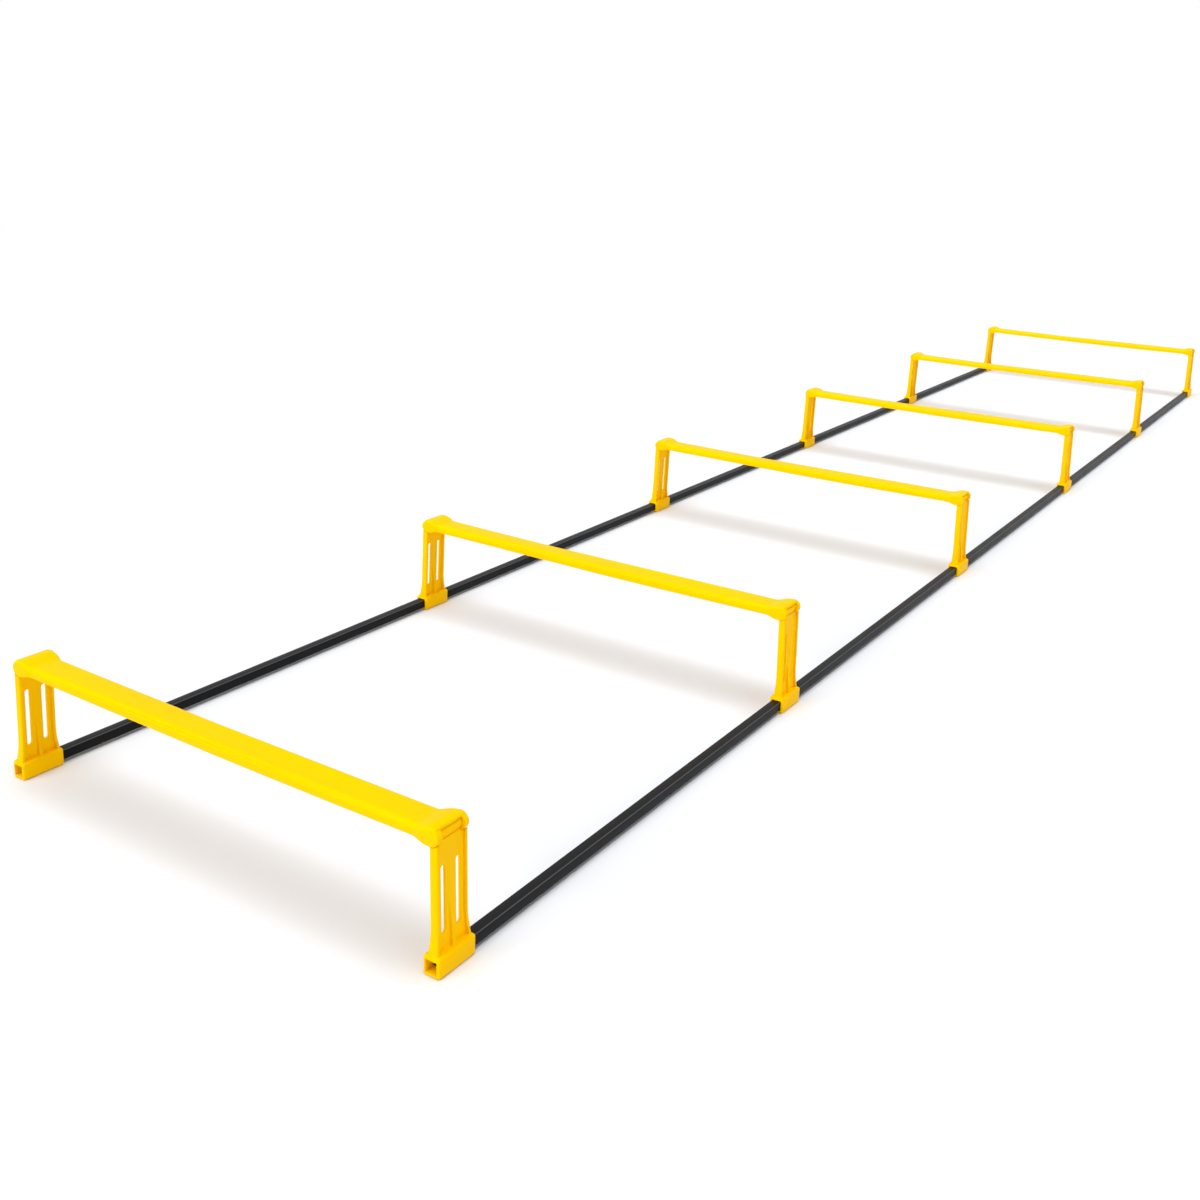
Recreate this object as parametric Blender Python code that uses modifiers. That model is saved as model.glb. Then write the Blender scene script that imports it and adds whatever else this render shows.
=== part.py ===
"""Raised agility ladder: a row of low hurdles whose legs fold out flat, joined by two side rails.

Units are metres, +Z is up. X runs across the ladder, Y along it, and the feet stand on Z = 0.
"""
import math

import bmesh
import bpy
from mathutils import Matrix, Vector

# Overall layout
RUNG_COUNT = 6
BAY_PITCH = 0.510
RAIL_SPACING = 0.445
HURDLE_HEIGHT = 0.105

# Gap kept between pieces that touch or turn on each other
FIT_GAP = 0.0003

# Square plastic tube of each side rail
RAIL_SIZE = 0.0090
RAIL_WALL = 0.0015
RAIL_CORNER = 0.0008
RAIL_END_RECESS = 0.0085

# Foot sleeve that grips the rail
SLEEVE_LENGTH = 0.0388
SLEEVE_SIDE_WALL = 0.0024
SLEEVE_FLOOR = 0.0028
SLEEVE_ROOF = 0.0029
SLEEVE_ROUND = 0.0019

# Hinge between a leg and its crossbar
HINGE_INSET = 0.0040
HINGE_DROP = 0.0068
BARREL_RADIUS = 0.0040
BARREL_RUNOUT_DEG = 48
PEG_RADIUS = 0.0020
PEG_LENGTH = 0.0030
EAR_RADIUS = 0.0064
EAR_THICKNESS = 0.0044
EAR_PROUD = 0.0003
EAR_ROUND = 0.0008

# Leg moulding: two flanges joined by a slotted web
LEG_WIDTH = 0.0308
LEG_THICKNESS = 0.0064
LEG_TOP_OFFSET = 0.0022
SHOULDER_DROP = 0.0048
LEG_EDGE_ROUND = 0.0009
FLANGE_WIDTH = 0.0028
WEB_THICKNESS = 0.0018
WEB_OFFSET = 0.0003
FLARE_HEIGHT = 0.0200
FLARE_WIDTH = 0.0021
FLARE_THICKNESS = 0.0010
SLOT_WIDTH = 0.0048
SLOT_SPACING = 0.0153
SLOT_BOTTOM = 0.0236
SLOT_TOP_DROP = 0.0215
RIB_WIDTH = 0.0026
RIB_HEIGHT = 0.0248
TOE_DEPTH = 0.0055
TOE_HEEL = 0.0040

# Crossbar moulding: an inverted channel that widens into hinge ears
BAR_WIDTH = 0.0290
BAR_LIP_DEPTH = 0.0080
BAR_WALL = 0.0018
BAR_ROUND = 0.0038
EAR_TOP_ROUND = 0.0026
BAR_END_ROUND = 0.0008
BAR_OVERHANG = 0.0035
BULKHEAD = 0.0020
NECK_LENGTH = 0.0250
NECK_INSET = 0.0010
FAIRING_LENGTH = 0.0130

# Facets
ARC_STEPS = 16
PEG_STEPS = 8
SLOT_STEPS = 6
CURVE_STEPS = 4
NECK_STEPS = 4
ROUND_STEPS = 3
CORNER_STEPS = 2

# How far a cutter or a joined piece runs past the surface it meets
CUT_MARGIN = 0.0020
JOIN_DEPTH = 0.0002

# Sizes that follow from the ones above
HINGE_X = RAIL_SPACING / 2 - HINGE_INSET
HINGE_Z = HURDLE_HEIGHT - HINGE_DROP
BORE_SIZE = RAIL_SIZE + 2 * FIT_GAP
SLEEVE_WIDTH = BORE_SIZE + 2 * SLEEVE_SIDE_WALL
SLEEVE_HEIGHT = SLEEVE_FLOOR + BORE_SIZE + SLEEVE_ROOF
RAIL_Z = SLEEVE_FLOOR + BORE_SIZE / 2
EAR_OUTER = LEG_WIDTH / 2 + EAR_PROUD
EAR_INNER = EAR_OUTER - EAR_THICKNESS
BARREL_HALF = EAR_INNER - FIT_GAP
POCKET_RADIUS = BARREL_RADIUS + FIT_GAP
SEAT_RADIUS = EAR_RADIUS + FIT_GAP
BAR_END = HINGE_X + BAR_OVERHANG
NECK_START = HINGE_X - NECK_INSET - NECK_LENGTH
SIDES = (("left", -1), ("right", 1))


def clear_scene():
    for item in list(bpy.data.objects):
        bpy.data.objects.remove(item, do_unlink=True)


def new_collection(name):
    group = bpy.data.collections.new(name)
    bpy.context.scene.collection.children.link(group)
    return group


def plastic(name, colour, roughness):
    material = bpy.data.materials.new(name)
    material.use_nodes = True
    shader = material.node_tree.nodes["Principled BSDF"]
    shader.inputs["Base Color"].default_value = (*colour, 1.0)
    shader.inputs["Roughness"].default_value = roughness
    shader.inputs["Metallic"].default_value = 0.0
    return material


def ease(t):
    """Smooth step from 0 to 1 with level ends."""
    t = min(max(t, 0.0), 1.0)
    return (1 - math.cos(math.pi * t)) / 2


def arc(radius, start, end, steps, centre=(0.0, 0.0)):
    """Points on a circle between two angles in degrees, both ends included."""
    points = []
    for step in range(steps + 1):
        angle = math.radians(start + (end - start) * step / steps)
        points.append((centre[0] + radius * math.cos(angle), centre[1] + radius * math.sin(angle)))
    return points


def rounded_outline(half_width, half_height, radius):
    """Rectangle with rounded corners."""
    points = []
    for start, across, up in ((0, 1, 1), (90, -1, 1), (180, -1, -1), (270, 1, -1)):
        centre = (across * (half_width - radius), up * (half_height - radius))
        points += arc(radius, start, start + 90, CORNER_STEPS, centre)
    return points


def object_from_bmesh(name, shape, group):
    shape.normal_update()
    bmesh.ops.recalc_face_normals(shape, faces=shape.faces)
    mesh = bpy.data.meshes.new(name)
    shape.to_mesh(mesh)
    shape.free()
    item = bpy.data.objects.new(name, mesh)
    group.objects.link(item)
    return item


def baked(item, group):
    """Mesh object with the evaluated shape of item, which is removed."""
    bpy.context.view_layer.update()
    evaluated = item.evaluated_get(bpy.context.evaluated_depsgraph_get())
    mesh = bpy.data.meshes.new_from_object(evaluated)
    matrix = item.matrix_world.copy()
    name = item.name
    bpy.data.objects.remove(item, do_unlink=True)
    result = bpy.data.objects.new(name, mesh)
    result.matrix_world = matrix
    group.objects.link(result)
    shape = bmesh.new()
    shape.from_mesh(mesh)
    bmesh.ops.remove_doubles(shape, verts=shape.verts, dist=0.000002)
    shape.to_mesh(mesh)
    shape.free()
    return result


# The two ways an outline is stood up: drawn in XZ and extruded along Y, or drawn in YZ along X
ALONG_Y = Matrix(((1, 0, 0), (0, 0, -1), (0, 1, 0))).to_4x4()
ALONG_X = Matrix(((0, 0, 1), (1, 0, 0), (0, 1, 0))).to_4x4()


def profile_solid(name, outlines, length, matrix, group):
    """Flat outline, with any holes, extruded to a length centred on its plane."""
    curve = bpy.data.curves.new(name, "CURVE")
    curve.dimensions = "2D"
    curve.fill_mode = "BOTH"
    curve.extrude = length / 2
    for points in outlines:
        spline = curve.splines.new("POLY")
        spline.points.add(len(points) - 1)
        for point, (across, up) in zip(spline.points, points):
            point.co = (across, up, 0.0, 1.0)
        spline.use_cyclic_u = True
    item = bpy.data.objects.new(name, curve)
    item.matrix_world = matrix
    group.objects.link(item)
    return baked(item, group)


def block(name, low, high, group):
    shape = bmesh.new()
    bmesh.ops.create_cube(shape, size=1.0)
    low = Vector(low)
    high = Vector(high)
    for vert in shape.verts:
        vert.co = Vector([low[i] + (high[i] - low[i]) * (vert.co[i] + 0.5) for i in range(3)])
    return object_from_bmesh(name, shape, group)


def cylinder_along_y(name, radius, y_low, y_high, steps, group, centre=(0.0, 0.0), rim=0.0, rim_end=1):
    """Cylinder with an optional chamfered rim at one end."""
    shape = bmesh.new()
    place = Matrix.Translation((centre[0], (y_low + y_high) / 2, centre[1]))
    turn = Matrix.Rotation(math.pi / 2, 4, "X")
    bmesh.ops.create_cone(shape, cap_ends=True, segments=steps, radius1=radius, radius2=radius,
                          depth=y_high - y_low, matrix=place @ turn)
    if rim:
        rim_y = y_high if rim_end > 0 else y_low
        bevel_where(shape, lambda a, b: abs(a.y - rim_y) + abs(b.y - rim_y) < JOIN_DEPTH, rim, 1)
    return object_from_bmesh(name, shape, group)


def loft(name, stations, section, group):
    """Prism sliced at each station, with its corners laid on the points of section(station)."""
    count = len(section(stations[0]))
    last = len(stations) - 1
    shape = bmesh.new()
    bmesh.ops.create_cone(shape, cap_ends=True, segments=count, radius1=1.0, radius2=1.0, depth=2.0)
    for index in range(1, last):
        cut = -1 + 2 * index / last
        whole = shape.verts[:] + shape.edges[:] + shape.faces[:]
        bmesh.ops.bisect_plane(shape, geom=whole, plane_co=(0, 0, cut), plane_no=(0, 0, 1))
    sections = [section(station) for station in stations]
    for vert in shape.verts:
        index = round((vert.co.z + 1) / 2 * last)
        corner = round(math.atan2(vert.co.x, vert.co.y) / math.tau * count) % count
        vert.co = Vector(sections[index][corner])
    return object_from_bmesh(name, shape, group)


def bevel_where(shape, test, radius, segments):
    edges = [edge for edge in shape.edges if test(edge.verts[0].co, edge.verts[1].co)]
    bmesh.ops.bevel(shape, geom=edges, offset=radius, segments=segments, profile=0.5, affect="EDGES",
                    clamp_overlap=True)


def add_boolean(item, operation, tool):
    modifier = item.modifiers.new(tool.name, "BOOLEAN")
    modifier.operation = operation
    modifier.solver = "EXACT"
    modifier.object = tool
    tool.hide_render = True
    tool.display_type = "WIRE"


def finish_mesh(item, name, group):
    """Bakes the modifiers, drops the tools and shades the round surfaces smooth."""
    tools = [modifier.object for modifier in item.modifiers if modifier.type == "BOOLEAN"]
    item.name = name
    result = baked(item, group)
    for tool in tools:
        bpy.data.objects.remove(tool, do_unlink=True)
    mesh = result.data
    mesh.name = name
    bpy.data.objects.remove(result, do_unlink=True)
    shape = bmesh.new()
    shape.from_mesh(mesh)
    bmesh.ops.dissolve_limit(shape, angle_limit=math.radians(0.2), verts=shape.verts, edges=shape.edges)
    shape.to_mesh(mesh)
    shape.free()
    mesh.shade_smooth()
    mesh.set_sharp_from_angle(angle=math.radians(32))
    return mesh


# Crossbar

def neck(x):
    """0 along the waist of the bar, growing to 1 at the ears."""
    return ease((abs(x) - NECK_START) / NECK_LENGTH)


def bar_half_width(x):
    """Half the width, ending just inside the outer face of the ears."""
    return BAR_WIDTH / 2 + (EAR_OUTER - JOIN_DEPTH - BAR_WIDTH / 2) * neck(x)


def bar_lip_bottom(x):
    """Lower edge of the lips, dropping near the ends to fair into the ears."""
    lip = HURDLE_HEIGHT - BAR_LIP_DEPTH
    ear = min(HINGE_Z - EAR_RADIUS + JOIN_DEPTH, lip)
    return lip + (ear - lip) * ease((abs(x) - HINGE_X + EAR_RADIUS / 2 + FAIRING_LENGTH) / FAIRING_LENGTH)


def bar_section(x):
    """Outline of the bar at x, rounded over the top."""
    half = bar_half_width(x)
    radius = BAR_ROUND + (EAR_TOP_ROUND - BAR_ROUND) * neck(x)
    top = HURDLE_HEIGHT - max(abs(x) - (BAR_END - BAR_END_ROUND), 0.0) / 2
    front = arc(radius, 180, 90, ROUND_STEPS, (radius - half, top - radius))
    back = arc(radius, 90, 0, ROUND_STEPS, (half - radius, top - radius))
    bottom = bar_lip_bottom(x)
    return [(x, y, z) for y, z in [(-half, bottom)] + front + back + [(half, bottom)]]


def channel_section(x):
    """Outline of the hollow under the bar at x, with its upper corners cut off."""
    half = bar_half_width(x) - BAR_WALL
    top = HURDLE_HEIGHT - BAR_WALL
    bottom = HINGE_Z - EAR_RADIUS - CUT_MARGIN
    points = [(-half, bottom), (-half, top - BAR_WALL), (BAR_WALL - half, top)]
    points += [(half - BAR_WALL, top), (half, top - BAR_WALL), (half, bottom)]
    return [(x, y, z) for y, z in points]


def bar_stations(steps, ends):
    """Stations along the bar, close together where the sides curve."""
    inner = [NECK_START + NECK_LENGTH * step / steps for step in range(steps + 1)]
    inner = [x for x in inner if x < ends[0]] + ends
    return [-x for x in reversed(inner)] + inner


def crossbar_mesh(group):
    bar = loft("bar", bar_stations(NECK_STEPS, [BAR_END - BAR_END_ROUND, BAR_END]), bar_section, group)
    channel_end = HINGE_X - POCKET_RADIUS - BULKHEAD
    add_boolean(bar, "DIFFERENCE",
                loft("channel", bar_stations(NECK_STEPS, [channel_end]), channel_section, group))
    floor = HINGE_Z - EAR_RADIUS - CUT_MARGIN
    for side_name, side in SIDES:
        # clears the bar past the hinge, where the leg swings up
        low_x, high_x = sorted((side * (HINGE_X - PEG_RADIUS / 2), side * (BAR_END + CUT_MARGIN)))
        swing = block(side_name + "_swing", (low_x, -EAR_OUTER - CUT_MARGIN, floor),
                      (high_x, EAR_OUTER + CUT_MARGIN, HINGE_Z), group)
        add_boolean(bar, "DIFFERENCE", swing)
        for end_name, end in (("front", -1), ("back", 1)):
            low_y, high_y = sorted((end * (EAR_INNER - JOIN_DEPTH), end * EAR_OUTER))
            ear = cylinder_along_y(side_name + "_ear_" + end_name, EAR_RADIUS, low_y, high_y, ARC_STEPS,
                                   group, (side * HINGE_X, HINGE_Z), EAR_ROUND, end)
            add_boolean(bar, "UNION", ear)
        # room for the leg's barrel between the ears, open below and outward
        reach = BAR_OVERHANG + CUT_MARGIN
        outline = [(-POCKET_RADIUS, floor - HINGE_Z)]
        outline += arc(POCKET_RADIUS, 180, 90, ARC_STEPS // 4)
        outline += [(reach, POCKET_RADIUS), (reach, floor - HINGE_Z)]
        outline = [(side * across, up) for across, up in outline]
        place = Matrix.Translation((side * HINGE_X, 0, HINGE_Z)) @ ALONG_Y
        pocket = profile_solid(side_name + "_pocket", [outline], 2 * EAR_INNER, place, group)
        add_boolean(bar, "DIFFERENCE", pocket)
        peg_reach = BARREL_HALF + PEG_LENGTH + FIT_GAP
        hole = cylinder_along_y(side_name + "_peg_hole", PEG_RADIUS + FIT_GAP, -peg_reach, peg_reach,
                                PEG_STEPS, group, (side * HINGE_X, HINGE_Z))
        add_boolean(bar, "DIFFERENCE", hole)
    return finish_mesh(bar, "crossbar", group)


# Leg, drawn with its origin on the hinge axis and +X pointing away from the ladder

def leg_middle(z):
    """Distance of the leg's middle plane from the hinge axis, leaning out to the rail."""
    top = -SHOULDER_DROP
    bottom = SLEEVE_HEIGHT - HINGE_Z
    return LEG_TOP_OFFSET + (HINGE_INSET - LEG_TOP_OFFSET) * (z - top) / (bottom - top)


def flare(z):
    """0 on the straight leg, growing to 1 where the leg meets its sleeve."""
    rise = z - (SLEEVE_HEIGHT - HINGE_Z)
    return min(max(1 - rise / FLARE_HEIGHT, 0.0), 1.0) ** 2


def leg_half_width(z):
    return LEG_WIDTH / 2 + FLARE_WIDTH * flare(z)


def leg_half_thickness(z):
    return LEG_THICKNESS / 2 + FLARE_THICKNESS * flare(z)


def leg_section(z):
    """Outline of the leg's blank at z, with rounded corners."""
    points = rounded_outline(leg_half_thickness(z), leg_half_width(z), LEG_EDGE_ROUND)
    return [(leg_middle(z) + x, y, z) for x, y in points]


def leg_stations(top):
    base = SLEEVE_HEIGHT - HINGE_Z
    steps = [base + FLARE_HEIGHT * step / CURVE_STEPS for step in range(CURVE_STEPS + 1)]
    return [base - SLEEVE_ROOF / 2] + steps + [top]


def web_face(z, side):
    return leg_middle(z) + WEB_OFFSET + side * WEB_THICKNESS / 2


def leg_mesh(group):
    top = -BARREL_RADIUS
    base = SLEEVE_HEIGHT - HINGE_Z

    leg = loft("leg", leg_stations(top), leg_section, group)

    # seats round the ears at the top of each flange
    shoulder_angle = 360 - math.degrees(math.asin(SHOULDER_DROP / SEAT_RADIUS))
    seat = arc(SEAT_RADIUS, 180, shoulder_angle, ARC_STEPS // 2)
    reach = SEAT_RADIUS + LEG_THICKNESS
    seat += [(reach, -SHOULDER_DROP), (reach, CUT_MARGIN), (-SEAT_RADIUS, CUT_MARGIN)]
    seat_middle = BARREL_HALF + EAR_THICKNESS
    for end_name, end in (("front", -1), ("back", 1)):
        place = Matrix.Translation((0, end * seat_middle, 0)) @ ALONG_Y
        add_boolean(leg, "DIFFERENCE",
                    profile_solid("seat_" + end_name, [seat], 2 * EAR_THICKNESS, place, group))

    # shallow pocket on the outer face and deep pocket on the inner face leave the web between them
    for face_name, side, pocket_top in (("outer", 1, top + CUT_MARGIN), ("inner", -1, top - TOE_HEEL)):
        def pocket_section(z, side=side):
            near = web_face(z, side)
            far = leg_middle(z) + side * (leg_half_thickness(z) + CUT_MARGIN)
            half = leg_half_width(z) - FLANGE_WIDTH
            return [(near, -half, z), (far, -half, z), (far, half, z), (near, half, z)]

        pocket = loft(face_name + "_pocket", leg_stations(pocket_top), pocket_section, group)
        add_boolean(leg, "DIFFERENCE", pocket)

    # hinge barrel with the toe that stops the leg from folding inward
    hub = [(-BARREL_RADIUS, -TOE_DEPTH)]
    hub += arc(BARREL_RADIUS, 180, -BARREL_RUNOUT_DEG, ARC_STEPS // 2 + 2)
    runout = hub[-1][0]
    web = web_face(top, -1) + WEB_THICKNESS / 4
    hub += [(runout, top - CUT_MARGIN), (web, top - CUT_MARGIN), (web, -TOE_DEPTH - TOE_HEEL)]
    add_boolean(leg, "UNION", profile_solid("hub", [hub], 2 * BARREL_HALF, ALONG_Y, group))
    peg_reach = BARREL_HALF + PEG_LENGTH
    for end_name, end in (("front", -1), ("back", 1)):
        low_y, high_y = sorted((end * (BARREL_HALF - CUT_MARGIN), end * peg_reach))
        peg = cylinder_along_y("peg_" + end_name, PEG_RADIUS, low_y, high_y, PEG_STEPS, group)
        add_boolean(leg, "UNION", peg)

    # tapered rib on both faces, rising from the sleeve between the slots
    foot = base - SLEEVE_ROOF / 2
    tip = base + RIB_HEIGHT
    half = leg_half_thickness(base)
    rib = [(leg_middle(foot) - half, foot), (leg_middle(foot) + half, foot),
           (leg_middle(base) + half, base), (web_face(tip, 0), tip), (leg_middle(base) - half, base)]
    add_boolean(leg, "UNION", profile_solid("rib", [rib], RIB_WIDTH, ALONG_Y, group))

    # two upright slots with round ends
    low = SLOT_BOTTOM - HINGE_Z + SLOT_WIDTH / 2
    high = -SLOT_TOP_DROP - SLOT_WIDTH / 2
    for slot_name, side in (("slot_front", -1), ("slot_back", 1)):
        middle = side * SLOT_SPACING / 2
        outline = arc(SLOT_WIDTH / 2, 0, 180, SLOT_STEPS, (middle, high))
        outline += arc(SLOT_WIDTH / 2, 180, 360, SLOT_STEPS, (middle, low))
        place = Matrix.Translation((leg_middle((low + high) / 2), 0, 0)) @ ALONG_X
        add_boolean(leg, "DIFFERENCE",
                    profile_solid(slot_name, [outline], 4 * LEG_THICKNESS, place, group))

    # sleeve with its square bore
    sleeve = block("sleeve", (HINGE_INSET - SLEEVE_WIDTH / 2, -SLEEVE_LENGTH / 2, -HINGE_Z),
                   (HINGE_INSET + SLEEVE_WIDTH / 2, SLEEVE_LENGTH / 2, base), group)
    rounded = sleeve.modifiers.new("round", "BEVEL")
    rounded.width = SLEEVE_ROUND
    rounded.segments = CORNER_STEPS
    add_boolean(leg, "UNION", sleeve)
    bore_low = SLEEVE_FLOOR - HINGE_Z
    bore = block("bore", (HINGE_INSET - BORE_SIZE / 2, -SLEEVE_LENGTH, bore_low),
                 (HINGE_INSET + BORE_SIZE / 2, SLEEVE_LENGTH, bore_low + BORE_SIZE), group)
    add_boolean(leg, "DIFFERENCE", bore)
    return finish_mesh(leg, "leg", group)


# Side rail

def rail_mesh(group):
    length = (RUNG_COUNT - 1) * BAY_PITCH + SLEEVE_LENGTH - 2 * RAIL_END_RECESS
    inner = RAIL_SIZE / 2 - RAIL_WALL
    hole = [(-inner, -inner), (-inner, inner), (inner, inner), (inner, -inner)]
    outer = rounded_outline(RAIL_SIZE / 2, RAIL_SIZE / 2, RAIL_CORNER)
    tube = profile_solid("rail", [outer, hole], length, ALONG_Y, group)
    shape = bmesh.new()
    shape.from_mesh(tube.data)
    shape.transform(tube.matrix_world)
    bmesh.ops.recalc_face_normals(shape, faces=shape.faces)
    shape.to_mesh(tube.data)
    shape.free()
    mesh = tube.data
    bpy.data.objects.remove(tube, do_unlink=True)
    return mesh


def place_piece(name, mesh, material, location, turn, parent, group):
    item = bpy.data.objects.new(name, mesh)
    if not mesh.materials:
        mesh.materials.append(material)
    item.location = location
    item.rotation_euler = (0.0, 0.0, turn)
    item.parent = parent
    group.objects.link(item)
    return item


def build():
    clear_scene()
    ladder = new_collection("agility_ladder")
    workshop = new_collection("cutters")
    yellow = plastic("yellow_plastic", (0.95, 0.68, 0.0), 0.42)
    black = plastic("black_plastic", (0.02, 0.02, 0.022), 0.5)

    bar_shape = crossbar_mesh(workshop)
    leg_shape = leg_mesh(workshop)
    rail_shape = rail_mesh(workshop)

    first_y = -(RUNG_COUNT - 1) * BAY_PITCH / 2
    rung_places = [first_y + index * BAY_PITCH for index in range(RUNG_COUNT)]
    for number, y in enumerate(rung_places, 1):
        place_piece("crossbar_%d" % number, bar_shape, yellow, (0, y, 0), 0.0, None, ladder)
    for side_name, side in SIDES:
        hinge = bpy.data.objects.new(side_name + "_hinge", None)
        hinge.location = (side * HINGE_X, 0, HINGE_Z)
        ladder.objects.link(hinge)
        turn = 0.0 if side > 0 else math.pi
        for number, y in enumerate(rung_places, 1):
            place_piece("%s_leg_%d" % (side_name, number), leg_shape, yellow, (0, y, 0), turn, hinge, ladder)
        rail_place = (side * HINGE_INSET, 0, RAIL_Z - HINGE_Z)
        place_piece(side_name + "_rail", rail_shape, black, rail_place, 0.0, hinge, ladder)
    bpy.context.view_layer.update()


build()
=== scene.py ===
"""Looks of the raised agility ladder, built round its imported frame. Metres, +Z up."""
import math

import bmesh
import bpy
from mathutils import Matrix, Vector


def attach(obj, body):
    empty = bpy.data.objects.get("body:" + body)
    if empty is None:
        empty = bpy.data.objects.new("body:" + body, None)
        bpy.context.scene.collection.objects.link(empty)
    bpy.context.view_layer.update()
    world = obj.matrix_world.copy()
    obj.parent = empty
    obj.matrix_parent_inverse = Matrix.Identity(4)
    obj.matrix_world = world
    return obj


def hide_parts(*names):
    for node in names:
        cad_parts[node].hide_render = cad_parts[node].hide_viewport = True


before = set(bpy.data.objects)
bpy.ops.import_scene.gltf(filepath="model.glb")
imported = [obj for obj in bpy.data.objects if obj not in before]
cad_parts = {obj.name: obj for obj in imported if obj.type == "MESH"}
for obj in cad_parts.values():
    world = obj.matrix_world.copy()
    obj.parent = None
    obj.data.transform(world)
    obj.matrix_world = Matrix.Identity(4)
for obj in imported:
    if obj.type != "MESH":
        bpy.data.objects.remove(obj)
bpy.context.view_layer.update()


# Crossbars: six inverted channels in yellow polypropylene, one moulding each. The top is rounded
# along both sides, sags a little at mid-span and rises at each end into a flat plate. Under the
# plate are two hinge ears, into which the legs snap from below.
RUNG_COUNT = 6
RUNG_SPACING = 0.510
FIRST_RUNG_Y = -1.275
RUNG_Y = [FIRST_RUNG_Y + RUNG_SPACING * rung for rung in range(RUNG_COUNT)]

BAR_HEIGHT = 0.1050
BAR_HALF = 0.0145
BAR_LIP_Z = 0.0940
BAR_SAG = 0.0014
BAR_ROUND = 0.0055
BAR_SKIN = 0.0018
CHANNEL_END = 0.2122
CHANNEL_ROUND = 0.0034
SPAN_CUTS = 12
NECK_CUTS = 16

NECK_START = 0.1980
NECK_LENGTH = 0.0195
NECK_ROUND_LOSS = 0.0029
WIDENING_START = 0.2015
WIDENING_LENGTH = 0.0080
FAIRING_START = 0.2055
FAIRING_LENGTH = 0.0098
PLATE_RISE = 0.0030
PLATE_RISE_END = 0.2165
PLATE_RISE_LENGTH = 0.0155
PLATE_END = 0.2220
END_BREAK = 0.0009
END_BREAK_SLOPE = 0.6

HINGE_X = 0.2185
HINGE_Z = 0.0982
EAR_RADIUS = 0.0064
EAR_FACE = 0.0164
EAR_INSIDE = 0.0113
EAR_BREAK = 0.0010
POCKET_RADIUS = 0.0043
POCKET_BACK = 0.0010
PEG_BORE_RADIUS = 0.0023
PEG_BORE_END = 0.0143
PEG_SIDES = 24

# How far joined shapes reach into each other, and where cutting shapes end, clear of the bar.
OVERLAP = 0.0002
PAST_END = 0.2250
PAST_SIDE = 0.0180
UNDER_BAR = 0.0850

EDGE_BREAK = 0.00035
MERGE_WITHIN = 0.000004
SAME_PLACE = 0.000001
FLAT_DEGREES = 0.6
HARD_EDGE_DEGREES = 38
SHADING_DEGREES = 40

BAR_FLOW = (9.0, 70.0, 70.0)
BAR_PALE = (1.0, 0.60, 0.0, 1)
BAR_DEEP = (0.98, 0.56, 0.0, 1)
TONE_SHARE = 0.2
SATIN_ROUGHNESS = (0.34, 0.46)
GRAIN_DEPTH = 0.00006
SCUFF_SCALE = (260.0, 22.0, 60.0)
SCUFF_TURN = (0.4, 0.3, 0.9)
SCUFF_RANGE = (0.66, 0.74)
SCUFF_ROUGHNESS = 0.12
SCUFF_DEPTH = 0.00005


def eased(t):
    """Smooth step from 0 to 1 as t goes from 0 to 1."""
    t = min(max(t, 0.0), 1.0)
    return (1 - math.cos(math.pi * t)) / 2


def arc(start, sweep, steps):
    """Cosine and sine at even steps through sweep degrees from start degrees."""
    angles = [math.radians(start + sweep * step / steps) for step in range(steps + 1)]
    return [(math.cos(angle), math.sin(angle)) for angle in angles]


def sag(x):
    """How far the bar hangs below its own ends at x."""
    return BAR_SAG * max(1 - (x / NECK_START) ** 2, 0.0)


def top_drop(x):
    """How far the top at x is below the end plates."""
    return PLATE_RISE * eased((PLATE_RISE_END - abs(x)) / PLATE_RISE_LENGTH) + sag(x)


def bar_half(x):
    """Half the bar's width at x."""
    gain = EAR_FACE - OVERLAP - BAR_HALF
    return BAR_HALF + gain * eased((abs(x) - WIDENING_START) / WIDENING_LENGTH)


def arched(x, half, low, top, radius, steps):
    """Section at x that rises from low, goes over a top with rounded corners and comes down."""
    points = [(x, -half, low)]
    for centre, start in ((radius - half, 180), (half - radius, 90)):
        points += [(x, centre + radius * across, top - radius + radius * rise)
                   for across, rise in arc(start, -90, steps)]
    return points + [(x, half, low)]


def bar_outline(x):
    """Section of the bar's outside at x, from the front lip over the top to the back lip."""
    top = BAR_HEIGHT - top_drop(x)
    top -= END_BREAK_SLOPE * max(abs(x) - PLATE_END + END_BREAK, 0.0)
    low = BAR_LIP_Z - sag(x)
    fairing = eased((abs(x) - FAIRING_START) / FAIRING_LENGTH)
    low -= (low - HINGE_Z + EAR_RADIUS - OVERLAP) * fairing
    radius = BAR_ROUND - NECK_ROUND_LOSS * eased((abs(x) - NECK_START) / NECK_LENGTH)
    return arched(x, bar_half(x), low, top, radius, steps=8)


def channel_outline(x):
    """Section of the hollow under the bar at x."""
    top = BAR_HEIGHT - top_drop(x) - BAR_SKIN
    return arched(x, bar_half(x) - BAR_SKIN, UNDER_BAR, top, CHANNEL_ROUND, steps=4)


def both_ways(stations):
    """Stations from zero outwards, mirrored to the other side of zero."""
    return [-x for x in reversed(stations[1:])] + stations


def lofted(stations, outline):
    """Prism sliced at each station and laid on the outline there."""
    count = len(outline(stations[0]))
    last = len(stations) - 1
    shape = bmesh.new()
    bmesh.ops.create_cone(shape, cap_ends=True, segments=count, radius1=1, radius2=1, depth=2)
    for cut in range(1, last):
        whole = shape.verts[:] + shape.edges[:] + shape.faces[:]
        bmesh.ops.bisect_plane(shape, geom=whole, plane_co=(0, 0, 2 * cut / last - 1),
                               plane_no=(0, 0, 1))
    for vert in shape.verts:
        row = round((vert.co.z + 1) / 2 * last)
        corner = round(math.atan2(vert.co.x, vert.co.y) / math.tau * count) % count
        vert.co = Vector(outline(stations[row])[corner])
    return shape


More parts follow.
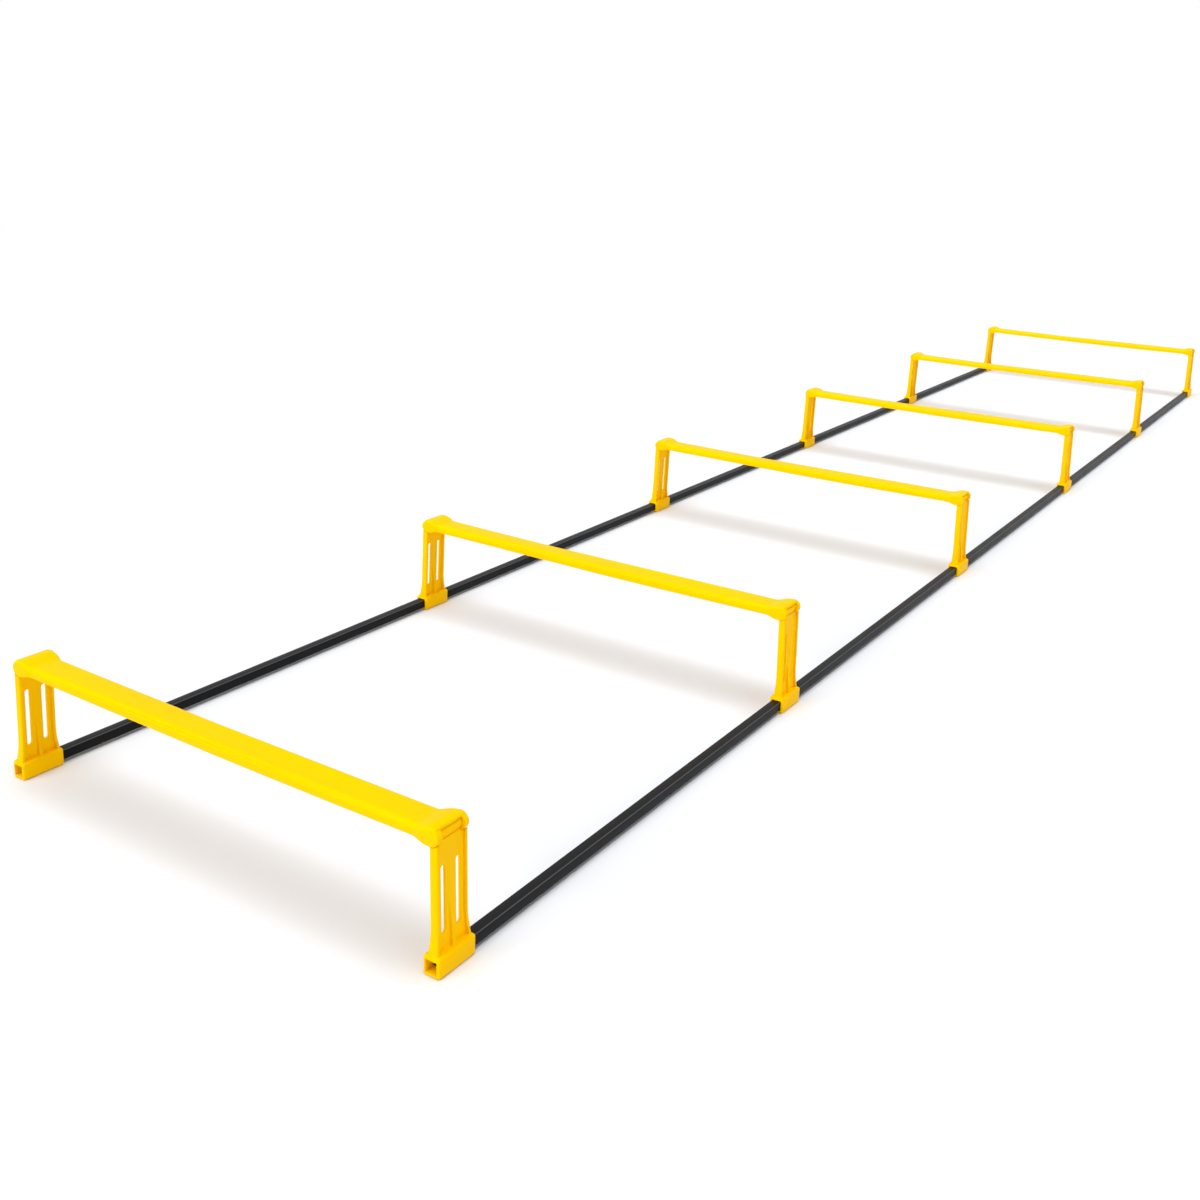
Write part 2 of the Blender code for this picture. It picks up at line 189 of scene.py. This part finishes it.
def disc(radius, low_y, high_y, sides=48, centre=(0.0, 0.0)):
    """Round disc or peg lying along Y."""
    shape = bmesh.new()
    place = Matrix.Translation((centre[0], (low_y + high_y) / 2, centre[1]))
    bmesh.ops.create_cone(shape, cap_ends=True, segments=sides, radius1=radius, radius2=radius,
                          depth=high_y - low_y, matrix=place @ Matrix.Rotation(math.pi / 2, 4, "X"))
    return shape


def slab(points, step):
    """Flat outline pushed through by step."""
    shape = bmesh.new()
    corner_highlight = [shape.verts.new(point) for point in points]
    face = bmesh.ops.contextual_create(shape, geom=corner_highlight)["faces"]
    grown = bmesh.ops.extrude_face_region(shape, geom=face)["geom"]
    moved = [part for part in grown if isinstance(part, bmesh.types.BMVert)]
    bmesh.ops.translate(shape, verts=moved, vec=step)
    return shape


def crosswise(outline, half):
    """Outline in X and Z made a solid that reaches half to each side in Y."""
    return slab([(x, -half, z) for x, z in outline], (0, 2 * half, 0))


def brick(low, high):
    """Square-cornered block between two corners."""
    shape = bmesh.new()
    bmesh.ops.create_cube(shape, size=1)
    bmesh.ops.scale(shape, verts=shape.verts, vec=[b - a for a, b in zip(low, high)])
    bmesh.ops.translate(shape, verts=shape.verts, vec=[(a + b) / 2 for a, b in zip(low, high)])
    return shape


def rounded_edges(shape, chosen, radius, segments):
    """Rounds the edges that chosen picks by their two ends."""
    edges = [edge for edge in shape.edges if chosen(*[vert.co for vert in edge.verts])]
    bmesh.ops.bevel(shape, geom=edges, offset=radius, segments=segments, profile=0.5, material=-1,
                    affect="EDGES", clamp_overlap=True)
    return shape


def rough_object(shape, name):
    """Object of a shape as it is, before it is cut and finished."""
    shape.normal_update()
    bmesh.ops.recalc_face_normals(shape, faces=shape.faces)
    mesh = bpy.data.meshes.new(name)
    shape.to_mesh(mesh)
    shape.free()
    item = bpy.data.objects.new(name, mesh)
    bpy.context.scene.collection.objects.link(item)
    return item


def moulded(item, steps):
    """Joins and cuts item with the shapes in steps, softens its edges and returns the mesh."""
    tools = []
    for operation, shape in steps:
        tool = rough_object(shape, "tool")
        tools.append(tool)
        cut = item.modifiers.new("shape", "BOOLEAN")
        cut.operation = operation
        cut.solver = "EXACT"
        cut.object = tool
    bpy.context.view_layer.update()
    finished = item.evaluated_get(bpy.context.evaluated_depsgraph_get())
    mesh = bpy.data.meshes.new_from_object(finished)
    for spent in tools + [item]:
        bpy.data.objects.remove(spent, do_unlink=True)
    shape = bmesh.new()
    shape.from_mesh(mesh)
    bmesh.ops.remove_doubles(shape, verts=shape.verts, dist=MERGE_WITHIN)
    bmesh.ops.dissolve_limit(shape, angle_limit=math.radians(FLAT_DEGREES), verts=shape.verts,
                             edges=shape.edges)
    hard = math.radians(HARD_EDGE_DEGREES)
    sharp = [edge for edge in shape.edges if edge.is_manifold and edge.calc_face_angle() > hard]
    bmesh.ops.bevel(shape, geom=sharp, offset=EDGE_BREAK, segments=2, profile=0.5, material=-1,
                    affect="EDGES", clamp_overlap=True)
    bmesh.ops.triangulate(shape, faces=[face for face in shape.faces if len(face.verts) > 4])
    shape.to_mesh(mesh)
    shape.free()
    mesh.shade_smooth()
    mesh.set_sharp_from_angle(angle=math.radians(SHADING_DEGREES))
    return mesh


def on_ear_face(a, b):
    """Whether the edge from a to b runs round the outer face of an ear."""
    return abs(a.y - b.y) < SAME_PLACE and abs(a.y) > EAR_FACE - SAME_PLACE


def crossbar_mesh():
    """One crossbar about the middle of its rung, with the channel, ears, pockets and peg bores."""
    half_bar = [NECK_START * step / SPAN_CUTS for step in range(SPAN_CUTS)]
    half_bar += [NECK_START + NECK_LENGTH * step / NECK_CUTS for step in range(NECK_CUTS + 1)]
    plate_edge = [PLATE_END - END_BREAK, PLATE_END - END_BREAK / 3, PLATE_END]
    blank = rough_object(lofted(both_ways(half_bar + plate_edge), bar_outline), "blank")
    inside = [x for x in half_bar if x < CHANNEL_END] + [CHANNEL_END]
    steps = [("DIFFERENCE", lofted(both_ways(inside), channel_outline))]
    for side in (-1, 1):
        low_x, high_x = sorted((side * (HINGE_X - POCKET_BACK), side * PAST_END))
        below = brick((low_x, -PAST_SIDE, UNDER_BAR), (high_x, PAST_SIDE, HINGE_Z))
        steps.append(("DIFFERENCE", below))
        hinge = (side * HINGE_X, HINGE_Z)
        for end in (-1, 1):
            low_y, high_y = sorted((end * (EAR_INSIDE - OVERLAP), end * EAR_FACE))
            ear = disc(EAR_RADIUS, low_y, high_y, centre=hinge)
            steps.append(("UNION", rounded_edges(ear, on_ear_face, EAR_BREAK, segments=3)))
        pocket = [(side * PAST_END, UNDER_BAR), (HINGE_X * side - side * POCKET_RADIUS, UNDER_BAR)]
        pocket += [(side * (HINGE_X + POCKET_RADIUS * out), HINGE_Z + POCKET_RADIUS * rise)
                   for out, rise in arc(180, -90, steps=8)]
        pocket.append((side * PAST_END, HINGE_Z + POCKET_RADIUS))
        steps.append(("DIFFERENCE", crosswise(pocket, EAR_INSIDE)))
        bores = disc(PEG_BORE_RADIUS, -PEG_BORE_END, PEG_BORE_END, PEG_SIDES, hinge)
        steps.append(("DIFFERENCE", bores))
    return moulded(blank, steps)


def feed(tree, socket, value):
    """Links a node's input to another node's output, or sets it to a plain value."""
    if isinstance(value, bpy.types.NodeSocket):
        tree.links.new(value, socket)
    else:
        socket.default_value = value


def fill(tree, target, **inputs):
    """Feeds the inputs of a node by name, with _ for each space in a name."""
    for name, value in inputs.items():
        feed(tree, target.inputs[name.replace("_", " ")], value)


def node(tree, kind, **inputs):
    """New shader node with its inputs filled."""
    made = tree.nodes.new(kind)
    fill(tree, made, **inputs)
    return made


def worked(tree, operation, *values):
    """Result of a math node on the values, in their order."""
    made = tree.nodes.new("ShaderNodeMath")
    made.operation = operation
    for socket, value in zip(made.inputs, values):
        feed(tree, socket, value)
    return made.outputs["Value"]


def stretched(tree, place, scale, turn=(0.0, 0.0, 0.0)):
    """Coordinates turned and scaled, so that a pattern on them runs one way."""
    made = node(tree, "ShaderNodeMapping", Vector=place, Rotation=turn, Scale=scale)
    return made.outputs["Vector"]


def noise(tree, place, scale, detail, roughness=0.5):
    """Uneven pattern between 0 and 1."""
    made = node(tree, "ShaderNodeTexNoise", Vector=place, Scale=scale, Detail=detail,
                Roughness=roughness)
    return made.outputs["Fac"]


def ramp(tree, value, start, full):
    """0 where value is up to start, 1 from full on, and even in between."""
    made = node(tree, "ShaderNodeMapRange", Value=value, From_Min=start, From_Max=full)
    return made.outputs["Result"]


def between(tree, fac, low, high):
    """Value running from low to high as fac goes from 0 to 1."""
    made = node(tree, "ShaderNodeMapRange", Value=fac, To_Min=low, To_Max=high)
    return made.outputs["Result"]


def two_tones(tree, fac, first, second):
    """Colour running from first to second as fac goes from 0 to 1."""
    made = tree.nodes.new("ShaderNodeMix")
    made.data_type = "RGBA"
    fill(tree, made, Factor=fac, A=first, B=second)
    return made.outputs["Result"]


def relief(tree, height, strength, depth, **under):
    """Direction of a finely uneven surface, over an earlier one if that is given as Normal."""
    made = node(tree, "ShaderNodeBump", Strength=strength, Distance=depth, Height=height, **under)
    return made.outputs["Normal"]


def yellow_plastic(name, flow, pale, deep):
    """Moulded polypropylene: faint flow marks, a fine satin grain and a few hairline scuffs."""
    material = bpy.data.materials.new(name)
    material.use_nodes = True
    tree = material.node_tree
    place = tree.nodes.new("ShaderNodeTexCoord").outputs["Object"]
    marks = noise(tree, stretched(tree, place, flow), scale=1.0, detail=4.0, roughness=0.55)
    clouds = noise(tree, place, scale=26.0, detail=2.0)
    blend = worked(tree, "MULTIPLY_ADD", marks, clouds, TONE_SHARE)
    strokes = stretched(tree, place, SCUFF_SCALE, turn=SCUFF_TURN)
    scuffs = ramp(tree, noise(tree, strokes, scale=1.0, detail=6.0, roughness=0.7), *SCUFF_RANGE)
    satin = between(tree, marks, *SATIN_ROUGHNESS)
    grain = noise(tree, place, scale=2600.0, detail=3.0)
    grained = relief(tree, grain, strength=0.10, depth=GRAIN_DEPTH)
    fill(tree, tree.nodes["Principled BSDF"],
         Base_Color=two_tones(tree, blend, deep, pale),
         Roughness=worked(tree, "ADD", satin, between(tree, scuffs, 0.0, SCUFF_ROUGHNESS)),
         Normal=relief(tree, scuffs, strength=0.12, depth=SCUFF_DEPTH, Normal=grained),
         Specular_IOR_Level=0.03,
         Specular_Tint=(1.0, 0.55, 0.05, 1))
    return material


def fitted(mesh, name, turn, place, cad_node, body, material):
    """Copy of a piece's mesh put where its CAD node is, riding on that node's body."""
    copy = mesh.copy()
    copy.name = name
    copy.transform(Matrix.Translation(place) @ Matrix.Rotation(turn, 4, "Z"))
    copy.materials.append(material)
    piece = bpy.data.objects.new(name, copy)
    bpy.context.scene.collection.objects.link(piece)
    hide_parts(cad_node)
    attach(piece, body)


bar = crossbar_mesh()
bar_plastic = yellow_plastic("crossbar_plastic", BAR_FLOW, BAR_PALE, BAR_DEEP)
for number, y in enumerate(RUNG_Y, 1):
    fitted(bar, "bar_%d" % number, 0.0, (0, y, 0), "crossbar_%d" % number, "crossbars",
           bar_plastic)


# Legs: twelve mouldings in the same plastic, each two upright flanges with a slotted web set back
# between them. A barrel with a peg at each end turns in the crossbar's ears, and the foot is a
# thick sleeve with a square bore that is pushed over the rail.

# Heights are measured from the hinge line, so those below it are negative.
LEG_HALF = 0.0161
LEG_THICK = 0.0064
LEG_ROUND = 0.0013
LEG_TOP = -0.0040
HEAD_OUT = 0.0022
RAIL_OUT = 0.0040
FLARE_HEIGHT = 0.0200
FLARE_CUTS = 8
FLARE_X = 0.0010
FLARE_Y = 0.0021

FLANGE = 0.0028
WEB_OUT = 0.0003
WEB_HALF = 0.0009
OUTER_HOLLOW_TOP = -0.0020
INNER_HOLLOW_TOP = -0.0080
PAST_LEG = 0.0030
SLOT_RADIUS = 0.0022
SLOT_Y = 0.00765
SLOT_TOP = -0.0216
SLOT_FOOT = 0.0270 - HINGE_Z
SLOT_CUT_START = -0.0080
SLOT_CUT_LENGTH = 0.0260
RIB_HALF = 0.0013
RIB_HEIGHT = 0.0430

BARREL_RADIUS = 0.0040
BARREL_HALF = 0.0110
BARREL_NECK = -0.0060
NECK_TURN = -24
TOE_TIP = -0.0055
TOE_ROOT = -0.0095
PEG_RADIUS = 0.0020
PEG_ROOT = 0.0090
PEG_END = 0.0140
SHOULDER = -0.0048
SEAT_RADIUS = 0.0067
SEAT_OUT = 0.0131
SEAT_TOP = 0.0020
SEAT_LENGTH = 0.0088

SLEEVE_TOP = 0.0153 - HINGE_Z
SLEEVE_HALF_LENGTH = 0.0194
SLEEVE_HALF_WIDTH = 0.0072
SLEEVE_ROUND = 0.0022
SLEEVE_BORE_HALF = 0.0048
SLEEVE_BORE_LOW = 0.0028 - HINGE_Z
SLEEVE_BORE_HIGH = 0.0124 - HINGE_Z
PAST_SLEEVE = 0.0300
LEG_SUNK = 0.0015
RIB_SUNK = 0.00145

LEG_FLOW = (70.0, 70.0, 16.0)
LEG_PALE = (1.0, 0.585, 0.0, 1)
LEG_DEEP = (0.98, 0.545, 0.0, 1)


def leg_middle(z):
    """How far out the leg's middle plane is from the hinge axis at height z."""
    return HEAD_OUT + (RAIL_OUT - HEAD_OUT) * (z - SHOULDER) / (SLEEVE_TOP - SHOULDER)


def foot_flare(z):
    """How much of the widening at the foot the leg has at height z, from 0 to 1."""
    return min(max(1 - (z - SLEEVE_TOP) / FLARE_HEIGHT, 0.0), 1.0) ** 2


def leg_outline(z):
    """Section of the leg's blank at height z."""
    half_x = LEG_THICK / 2 + FLARE_X * foot_flare(z)
    half_y = LEG_HALF + FLARE_Y * foot_flare(z)
    points = []
    for start, out, along in ((0, 1, 1), (90, -1, 1), (180, -1, -1), (270, 1, -1)):
        points += [(leg_middle(z) + out * (half_x - LEG_ROUND) + LEG_ROUND * x,
                    along * (half_y - LEG_ROUND) + LEG_ROUND * y, z)
                   for x, y in arc(start, 90, steps=4)]
    return points


def web_at(z, side):
    """X of the web at height z: its outer face (1), its inner face (-1) or its middle (0)."""
    return leg_middle(z) + WEB_OUT + side * WEB_HALF


def web_hollow(side):
    """Section of the space beside the web, on the outer side (1) or the inner side (-1)."""
    def outline(z):
        near = web_at(z, side)
        far = leg_middle(z) + side * (LEG_THICK / 2 + PAST_LEG)
        half = LEG_HALF + FLARE_Y * foot_flare(z) - FLANGE
        return [(near, -half, z), (far, -half, z), (far, half, z), (near, half, z)]
    return outline


def leg_seat():
    """Outline of the space that the round of an ear needs over the leg's shoulder."""
    low_angle = math.degrees(math.asin(-SHOULDER / SEAT_RADIUS))
    seat = [(SEAT_OUT, SHOULDER), (SEAT_OUT, SEAT_TOP), (-SEAT_RADIUS, SEAT_TOP)]
    return seat + [(SEAT_RADIUS * x, SEAT_RADIUS * z)
                   for x, z in arc(180, 180 - low_angle, steps=12)]


def barrel_outline():
    """Outline of the hinge barrel, its neck on the web and the toe that stops an inward fold."""
    outline = [(-BARREL_RADIUS, TOE_TIP)]
    outline += [(BARREL_RADIUS * x, BARREL_RADIUS * z)
                for x, z in arc(180, -180, steps=16) + arc(NECK_TURN, NECK_TURN, steps=1)]
    behind = web_at(LEG_TOP, -1) + WEB_HALF / 2
    return outline + [(outline[-1][0], BARREL_NECK), (behind, BARREL_NECK), (behind, TOE_ROOT)]


def rib_outline():
    """Outline of the rib that stands on the sleeve between the slots and thins to nothing."""
    tip = SLEEVE_TOP + RIB_HEIGHT
    foot = SLEEVE_TOP - RIB_SUNK
    reach = LEG_THICK / 2 + FLARE_X
    return [(leg_middle(foot) - reach, foot), (leg_middle(foot) + reach, foot),
            (leg_middle(SLEEVE_TOP) + reach, SLEEVE_TOP), (web_at(tip, 0), tip),
            (leg_middle(SLEEVE_TOP) - reach, SLEEVE_TOP)]


def slot_cutter(middle):
    """Upright slot with round ends, pushed through the web at Y = middle."""
    ends = ((SLOT_TOP - SLOT_RADIUS, 0), (SLOT_FOOT + SLOT_RADIUS, 180))
    rim = [(SLOT_CUT_START, middle + SLOT_RADIUS * y, height + SLOT_RADIUS * z)
           for height, start in ends for y, z in arc(start, 180, steps=12)]
    return slab(rim, (SLOT_CUT_LENGTH, 0, 0))


def leg_mesh():
    """One right leg, drawn from its hinge: X outwards, Y along the ladder and Z up."""
    rise = [SLEEVE_TOP - LEG_SUNK]
    rise += [SLEEVE_TOP + FLARE_HEIGHT * step / FLARE_CUTS for step in range(FLARE_CUTS + 1)]
    blank = rough_object(lofted(rise + [LEG_TOP], leg_outline), "blank")
    steps = []
    for start in (-BARREL_HALF - SEAT_LENGTH, BARREL_HALF):
        seat = slab([(x, start, z) for x, z in leg_seat()], (0, SEAT_LENGTH, 0))
        steps.append(("DIFFERENCE", seat))
    for side, top in ((1, OUTER_HOLLOW_TOP), (-1, INNER_HOLLOW_TOP)):
        steps.append(("DIFFERENCE", lofted(rise + [top], web_hollow(side))))
    steps.append(("UNION", crosswise(barrel_outline(), BARREL_HALF)))
    for low_y, high_y in ((-PEG_END, -PEG_ROOT), (PEG_ROOT, PEG_END)):
        steps.append(("UNION", disc(PEG_RADIUS, low_y, high_y, PEG_SIDES)))
    steps.append(("UNION", crosswise(rib_outline(), RIB_HALF)))
    for middle in (-SLOT_Y, SLOT_Y):
        steps.append(("DIFFERENCE", slot_cutter(middle)))
    sleeve = brick((RAIL_OUT - SLEEVE_HALF_WIDTH, -SLEEVE_HALF_LENGTH, -HINGE_Z),
                   (RAIL_OUT + SLEEVE_HALF_WIDTH, SLEEVE_HALF_LENGTH, SLEEVE_TOP))
    steps.append(("UNION", rounded_edges(sleeve, lambda a, b: True, SLEEVE_ROUND, segments=4)))
    bore = brick((RAIL_OUT - SLEEVE_BORE_HALF, -PAST_SLEEVE, SLEEVE_BORE_LOW),
                 (RAIL_OUT + SLEEVE_BORE_HALF, PAST_SLEEVE, SLEEVE_BORE_HIGH))
    steps.append(("DIFFERENCE", bore))
    return moulded(blank, steps)


leg = leg_mesh()
leg_plastic = yellow_plastic("leg_plastic", LEG_FLOW, LEG_PALE, LEG_DEEP)
for side_name, side, turn in (("left", -1, math.pi), ("right", 1, 0.0)):
    for number, y in enumerate(RUNG_Y, 1):
        leg_name = "%s_leg_%d" % (side_name, number)
        fitted(leg, "upright_" + leg_name, turn, (side * HINGE_X, y, HINGE_Z), leg_name,
               side_name + "_side", leg_plastic)


# Side rails: two lengths of black extruded square tube with slightly rounded corners. Each is
# pushed through its six foot sleeves and stops just short of the first and last mouth.
RAIL_X = 0.2225
RAIL_Z = 0.0076
RAIL_HALF = 0.0045
RAIL_END = 1.2859
RAIL_WALL = 0.0015
RAIL_ROUND = 0.0008
RAIL_SHADING_DEGREES = 50

RAIL_DEEP = (0.002, 0.002, 0.0023, 1)
RAIL_PALE = (0.006, 0.006, 0.0065, 1)
# Pale grey painted highlight, laid along the tube's two upper corners where they catch the light.
RAIL_CORNER_HIGHLIGHT = (0.070, 0.070, 0.072, 1)
CORNER_HIGHLIGHT_RANGE = (0.0158, 0.01605)
RAIL_LINES = (2200.0, 3.0, 2200.0)
RAIL_ROUGHNESS = (0.30, 0.52)
LINE_DEPTH = 0.00005


def on_outer_corner(a, b):
    """Whether the edge from a to b is one of the tube's four long outer corners."""
    return abs(a.y - b.y) > RAIL_END and abs(a.x) > RAIL_HALF - RAIL_WALL / 2


def rail_mesh():
    """One square tube about its own middle, open at both ends."""
    shape = brick((-RAIL_HALF, -RAIL_END, -RAIL_HALF), (RAIL_HALF, RAIL_END, RAIL_HALF))
    ends = [face for face in shape.faces if abs(face.normal.y) > 0.9]
    bmesh.ops.inset_region(shape, faces=ends, thickness=RAIL_WALL, use_even_offset=True)
    bmesh.ops.bridge_loops(shape, edges=[edge for face in ends for edge in face.edges])
    bmesh.ops.delete(shape, geom=ends, context="FACES_ONLY")
    rounded_edges(shape, on_outer_corner, RAIL_ROUND, segments=4)
    bmesh.ops.recalc_face_normals(shape, faces=shape.faces)
    mesh = bpy.data.meshes.new("rail")
    shape.to_mesh(mesh)
    shape.free()
    mesh.shade_smooth()
    mesh.set_sharp_from_angle(angle=math.radians(RAIL_SHADING_DEGREES))
    return mesh


def from_middle(tree, value, middle):
    """Distance of a coordinate from middle, whichever side it is on."""
    return worked(tree, "ABSOLUTE", worked(tree, "SUBTRACT", value, middle))


def black_plastic():
    """Extruded plastic: fine lines drawn along the tube, a satin skin and a painted highlight on
    the upper corners.
    """
    material = bpy.data.materials.new("rail_plastic")
    material.use_nodes = True
    tree = material.node_tree
    place = tree.nodes.new("ShaderNodeTexCoord").outputs["Object"]
    lines = noise(tree, stretched(tree, place, RAIL_LINES), scale=1.0, detail=3.0)
    haze = noise(tree, place, scale=34.0, detail=5.0, roughness=0.65)
    apart = node(tree, "ShaderNodeSeparateXYZ", Vector=place).outputs
    off_centre = from_middle(tree, from_middle(tree, apart["X"], 0.0), RAIL_X)
    # Painted highlight: the two upper corners of each tube are drawn paler, as if lit from above.
    corner_highlight = ramp(tree, worked(tree, "ADD", off_centre, apart["Z"]), *CORNER_HIGHLIGHT_RANGE)
    skin = two_tones(tree, haze, RAIL_DEEP, RAIL_PALE)
    fill(tree, tree.nodes["Principled BSDF"],
         Base_Color=two_tones(tree, corner_highlight, skin, RAIL_CORNER_HIGHLIGHT),
         Roughness=between(tree, haze, *RAIL_ROUGHNESS),
         Normal=relief(tree, lines, strength=0.18, depth=LINE_DEPTH),
         Specular_IOR_Level=0.09)
    return material


tube = rail_mesh()
rail_plastic = black_plastic()
for side_name, side in (("left", -1), ("right", 1)):
    fitted(tube, side_name + "_tube", 0.0, (side * RAIL_X, 0, RAIL_Z), side_name + "_rail",
           side_name + "_side", rail_plastic)


# Studio: a seamless white floor that keeps the ladder's soft shadow, under a broad overhead light
# with fills from the front left and the right. Far from the ladder the floor fades to plain white.
WHITE = (1, 1, 1, 1)
PAPER = (0.826, 0.843, 0.872, 1)
FLOOR_HALF = 60
FADE_START = 2.2
FADE_END = 5.0
ROOM_STRENGTH = 0.20
# Name, the way the light travels, spread in degrees and strength.
SUNS = (("overhead", (0.0, 0.03, -1.0), 50, 2.50),
        ("front_fill", (0.30, 0.90, -0.30), 40, 1.80),
        ("side_fill", (-0.95, 0.15, -0.20), 60, 1.10))


def looked_at(tree):
    """1 for what the camera sees, straight or in a reflection or a clear piece, and 0 otherwise."""
    path = node(tree, "ShaderNodeLightPath").outputs
    straight = worked(tree, "MAXIMUM", path["Is Camera Ray"], path["Is Glossy Ray"])
    return worked(tree, "MAXIMUM", straight, path["Is Transmission Ray"])


def shown_as(tree, fac, first, second, output):
    """Sends the first shader to the output where fac is 0 and the second where it is 1."""
    mixed = node(tree, "ShaderNodeMixShader", Fac=fac)
    feed(tree, mixed.inputs[1], first)
    feed(tree, mixed.inputs[2], second)
    fill(tree, tree.nodes[output], Surface=mixed.outputs["Shader"])


floor_shape = bmesh.new()
bmesh.ops.create_grid(floor_shape, x_segments=1, y_segments=1, size=FLOOR_HALF)
floor = rough_object(floor_shape, "floor")
paper = bpy.data.materials.new("floor_paper")
paper.use_nodes = True
studio = paper.node_tree
matt = studio.nodes["Principled BSDF"]
fill(studio, matt, Base_Color=PAPER, Roughness=0.9, Specular_IOR_Level=0.0)
spot = node(studio, "ShaderNodeTexCoord").outputs["Object"]
far = node(studio, "ShaderNodeVectorMath", Vector=spot)
far.operation = "LENGTH"
fade = ramp(studio, far.outputs["Value"], FADE_START, FADE_END)
glow = node(studio, "ShaderNodeEmission", Color=WHITE, Strength=1.0).outputs["Emission"]
shown_as(studio, worked(studio, "MULTIPLY", fade, looked_at(studio)), matt.outputs["BSDF"], glow,
         "Material Output")
floor.data.materials.append(paper)

world = bpy.data.worlds.new("studio")
bpy.context.scene.world = world
world.use_nodes = True
sky = world.node_tree
room = sky.nodes["Background"]
fill(sky, room, Color=WHITE, Strength=ROOM_STRENGTH)
white = node(sky, "ShaderNodeBackground", Color=WHITE, Strength=1.0)
shown_as(sky, looked_at(sky), room.outputs["Background"], white.outputs["Background"],
         "World Output")

for sun_name, heading, spread, strength in SUNS:
    lamp = bpy.data.lights.new(sun_name, "SUN")
    lamp.angle = math.radians(spread)
    lamp.energy = strength
    holder = bpy.data.objects.new(sun_name, lamp)
    holder.rotation_euler = Vector(heading).to_track_quat("-Z", "Y").to_euler()
    bpy.context.scene.collection.objects.link(holder)


# Camera: stands in front and to the right at about knee height, looking along the ladder. Its
# lens is given in the photograph's own pixels: focal length and the point it is centred on.
PHOTO_SIZE = 1200
FOCAL_LENGTH = 1335.8
CENTRED_ON = (582.9, 451.9)
SENSOR = 36.0
STAND = (0.7160, -1.8826, 0.5457)
YAW, PITCH, ROLL = math.radians(33.444), math.radians(13.902), math.radians(1.942)

lens = bpy.data.cameras.new("camera")
lens.sensor_width = SENSOR
lens.lens = FOCAL_LENGTH / PHOTO_SIZE * SENSOR
lens.shift_x = (PHOTO_SIZE / 2 - CENTRED_ON[0]) / PHOTO_SIZE
lens.shift_y = (CENTRED_ON[1] - PHOTO_SIZE / 2) / PHOTO_SIZE
lens.clip_start = 0.05
lens.clip_end = 200.0
camera = bpy.data.objects.new("camera", lens)
ahead = Vector((-math.sin(YAW) * math.cos(PITCH), math.cos(YAW) * math.cos(PITCH),
                -math.sin(PITCH)))
level = Vector((math.cos(YAW), math.sin(YAW), 0))
above = level.cross(ahead)
right = level * math.cos(ROLL) + above * math.sin(ROLL)
up = above * math.cos(ROLL) - level * math.sin(ROLL)
turned = Matrix((right, up, -ahead)).transposed().to_4x4()
camera.matrix_world = Matrix.Translation(STAND) @ turned
bpy.context.scene.collection.objects.link(camera)
bpy.context.scene.camera = camera
bpy.context.scene.view_settings.view_transform = "Standard"
